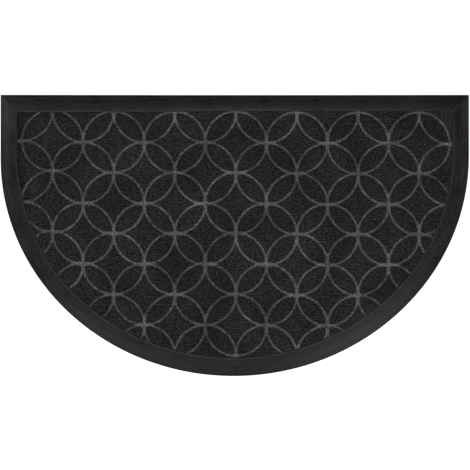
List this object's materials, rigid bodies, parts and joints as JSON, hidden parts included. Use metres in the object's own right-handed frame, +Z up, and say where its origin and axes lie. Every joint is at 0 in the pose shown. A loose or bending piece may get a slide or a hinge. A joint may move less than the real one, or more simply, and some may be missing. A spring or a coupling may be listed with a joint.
{
  "type": "half moon doormat",
  "caption": "Half moon doormat with a bevelled rubber border and a ribbed carpet field pressed with a lattice of overlapping rings.",
  "frame": {"origin": "on the floor under the middle of the mat's box", "axes": "+X along the straight edge, +Y towards the straight edge, +Z up from the floor"},
  "size_m": [0.75, 0.45, 0.0068],
  "materials": {
    "rubber": "moulded black rubber, satin, with faint streaks along the bevel",
    "carpet": "matt black ribbed needle-punched fibre, with smoother and lighter pressed lines"
  },
  "bodies": {
    "root": {"rubber_base": "rubber", "carpet_field": "carpet"}
  },
  "joints": []
}
